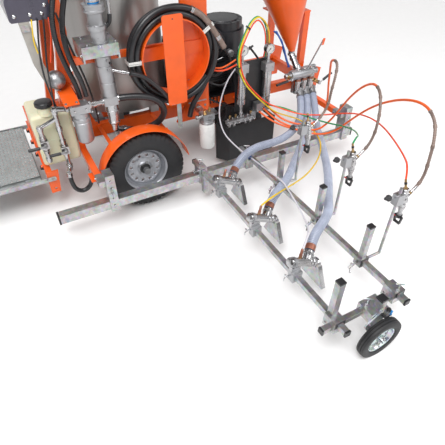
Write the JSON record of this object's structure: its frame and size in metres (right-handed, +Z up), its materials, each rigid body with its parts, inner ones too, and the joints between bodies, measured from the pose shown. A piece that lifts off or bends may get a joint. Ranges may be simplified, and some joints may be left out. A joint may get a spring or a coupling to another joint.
{
  "type": "line striping machine",
  "caption": "Ride-on road line striping machine with a side outrigger that carries spray guns and bead guns, fed by hoses from the chassis.",
  "frame": {"origin": "on the ground, at the middle of the footprint's bounding box", "axes": "+X forward, +Y left, +Z up; the outrigger is on the right, at -Y"},
  "size_m": [2.895, 2.983, 1.629],
  "materials": {
    "orange_paint": "gloss",
    "black_paint": "satin",
    "tread_aluminium": "satin",
    "galvanised": "satin",
    "stainless": "satin",
    "bright_steel": "polished",
    "steel": "satin",
    "rubber_tyre": "matt",
    "white_plastic": "matt",
    "white_can": "gloss",
    "clear_hose": "gloss",
    "orange_hose": "satin",
    "black_hose": "satin",
    "air_hose": "satin",
    "black_rubber": "matt",
    "engine_metal": "matt",
    "black_grip": "satin",
    "lever_red": "satin"
  },
  "bodies": {
    "machine": {"chassis_frame": "orange_paint", "rear_axle": "steel", "mudguards": "orange_paint", "solvent_tank": "white_plastic", "suction_pipes": "bright_steel", "console": "black_paint", "accumulator": "bright_steel", "paint_tank": "stainless", "engine_block": "engine_metal", "exhaust_muffler": "steel", "hydraulic_tank": "black_paint", "pump_bracket": "stainless", "pump_motor": "bright_steel", "pump_lower": "bright_steel", "paint_filter": "bright_steel", "drum_ring": "orange_paint", "drum_cover": "orange_paint", "oil_filter": "white_can", "gauge_filters": "bright_steel", "manifold": "bright_steel", "splash_flap": "black_rubber", "bead_hopper": "orange_paint", "hopper_valve_block": "bright_steel", "side_rail": "galvanised", "rail_mounts": "galvanised", "gun_bar_a": "galvanised", "gun_bar_b": "galvanised", "cross_bar": "galvanised", "bar_clamps": "galvanised", "gun_carriers": "galvanised", "bead_hose_1": "clear_hose", "paint_hose_1": "orange_hose", "bead_hose_2": "clear_hose", "paint_hose_2": "orange_hose", "bead_hose_3": "clear_hose", "paint_hose_3": "orange_hose", "hose_coil": "black_hose", "air_lines": "air_hose", "black_hoses": "black_hose"},
    "steer": {"steering_axle": "black_paint"},
    "wheel_rear_near": {"rear_wheel_near": "rubber_tyre"},
    "wheel_rear_far": {"rear_wheel_far": "rubber_tyre"},
    "wheel_front_near": {"front_wheel_near": "rubber_tyre"},
    "wheel_front_far": {"front_wheel_far": "rubber_tyre"},
    "hand_wheel": {"steering_wheel": "black_grip"},
    "platform": {"platform": "tread_aluminium"},
    "tank_lid": {"tank_lid": "stainless"},
    "hopper_lid": {"hopper_lid": "orange_paint"},
    "suction_lever_1": {"suction_lever_1": "lever_red"},
    "suction_lever_2": {"suction_lever_2": "lever_red"},
    "hopper_lever_1": {"hopper_lever_1": "black_grip"},
    "hopper_lever_2": {"hopper_lever_2": "black_grip"},
    "castor_leg": {"castor_fork": "galvanised"},
    "castor_roll": {"castor_wheel": "rubber_tyre"},
    "bead_gun_1": {"bead_gun_1": "bright_steel"},
    "paint_gun_1": {"paint_gun_1": "bright_steel"},
    "bead_gun_2": {"bead_gun_2": "bright_steel"},
    "paint_gun_2": {"paint_gun_2": "bright_steel"},
    "bead_gun_3": {"bead_gun_3": "bright_steel"},
    "paint_gun_3": {"paint_gun_3": "bright_steel"}
  },
  "joints": [
    {"name": "steer", "type": "hinge", "parent": "machine", "child": "steer", "pos_m": [0.695, 0.845, 0.458], "axis": [0, 0, 1], "range_deg": [-25, 25]},
    {"name": "hand_wheel_turn", "type": "hinge", "parent": "machine", "child": "hand_wheel", "pos_m": [-0.826, 0.845, 1.473], "axis": [-0.6, 0, 0.8], "range_deg": [-250, 250]},
    {"name": "rear_near_roll", "type": "hinge", "parent": "machine", "child": "wheel_rear_near", "pos_m": [-0.261, 0.285, 0.274], "axis": [0, 1, 0], "continuous": true},
    {"name": "rear_far_roll", "type": "hinge", "parent": "machine", "child": "wheel_rear_far", "pos_m": [-0.261, 1.405, 0.274], "axis": [0, 1, 0], "continuous": true},
    {"name": "front_near_roll", "type": "hinge", "parent": "steer", "child": "wheel_front_near", "pos_m": [0.695, 0.615, 0.2], "axis": [0, 1, 0], "continuous": true},
    {"name": "front_far_roll", "type": "hinge", "parent": "steer", "child": "wheel_front_far", "pos_m": [0.695, 1.075, 0.2], "axis": [0, 1, 0], "continuous": true},
    {"name": "platform_tilt", "type": "hinge", "parent": "machine", "child": "platform", "pos_m": [-0.845, 0.845, 0.276], "axis": [0, 1, 0], "range_deg": [0, 45]},
    {"name": "tank_lid_hinge", "type": "hinge", "parent": "machine", "child": "tank_lid", "pos_m": [-0.17, 1.206, 1.39], "axis": [-1, 0, 0], "range_deg": [0, 100]},
    {"name": "hopper_lid_hinge", "type": "hinge", "parent": "machine", "child": "hopper_lid", "pos_m": [1.075, 0.92, 1.392], "axis": [-1, 0, 0], "range_deg": [0, 100]},
    {"name": "suction_valve_1", "type": "hinge", "parent": "machine", "child": "suction_lever_1", "pos_m": [-0.722, 0.39, 0.471], "axis": [0, 1, 0], "range_deg": [0, 90]},
    {"name": "suction_valve_2", "type": "hinge", "parent": "machine", "child": "suction_lever_2", "pos_m": [-0.831, 0.39, 0.54], "axis": [0, 1, 0], "range_deg": [0, 90]},
    {"name": "hopper_valve_1", "type": "hinge", "parent": "machine", "child": "hopper_lever_1", "pos_m": [1.02, 0.392, 0.6], "axis": [0, 1, 0], "range_deg": [0, 90]},
    {"name": "hopper_valve_2", "type": "hinge", "parent": "machine", "child": "hopper_lever_2", "pos_m": [1.3, 0.392, 0.52], "axis": [0, -1, 0], "range_deg": [0, 90]},
    {"name": "castor_height", "type": "slide", "parent": "machine", "child": "castor_leg", "axis": [0, 0, 1], "range_m": [-0.05, 0.025]},
    {"name": "castor_roll", "type": "hinge", "parent": "castor_leg", "child": "castor_roll", "pos_m": [0.291, -1.451, 0.125], "axis": [0, 1, 0], "continuous": true},
    {"name": "bead_gun_1_set", "type": "slide", "parent": "machine", "child": "bead_gun_1", "axis": [0, 1, 0], "range_m": [-0.05, 0.05], "deforming": ["bead_hose_1"]},
    {"name": "bead_gun_2_set", "type": "slide", "parent": "machine", "child": "bead_gun_2", "axis": [0, 1, 0], "range_m": [-0.05, 0.05], "deforming": ["bead_hose_2", "air_lines"]},
    {"name": "bead_gun_3_set", "type": "slide", "parent": "machine", "child": "bead_gun_3", "axis": [0, 1, 0], "range_m": [-0.05, 0.05], "deforming": ["bead_hose_3", "air_lines"]},
    {"name": "paint_gun_1_height", "type": "slide", "parent": "machine", "child": "paint_gun_1", "axis": [0, 0, 1], "range_m": [-0.06, 0.03], "deforming": ["paint_hose_1"]},
    {"name": "paint_gun_2_height", "type": "slide", "parent": "machine", "child": "paint_gun_2", "axis": [0, 0, 1], "range_m": [-0.06, 0.03], "deforming": ["paint_hose_2", "air_lines"]},
    {"name": "paint_gun_3_height", "type": "slide", "parent": "machine", "child": "paint_gun_3", "axis": [0, 0, 1], "range_m": [-0.06, 0.03], "deforming": ["paint_hose_3", "air_lines"]}
  ],
  "couplings": [
    {"joint": "hand_wheel_turn", "follows": "steer", "ratio": 10}
  ]
}
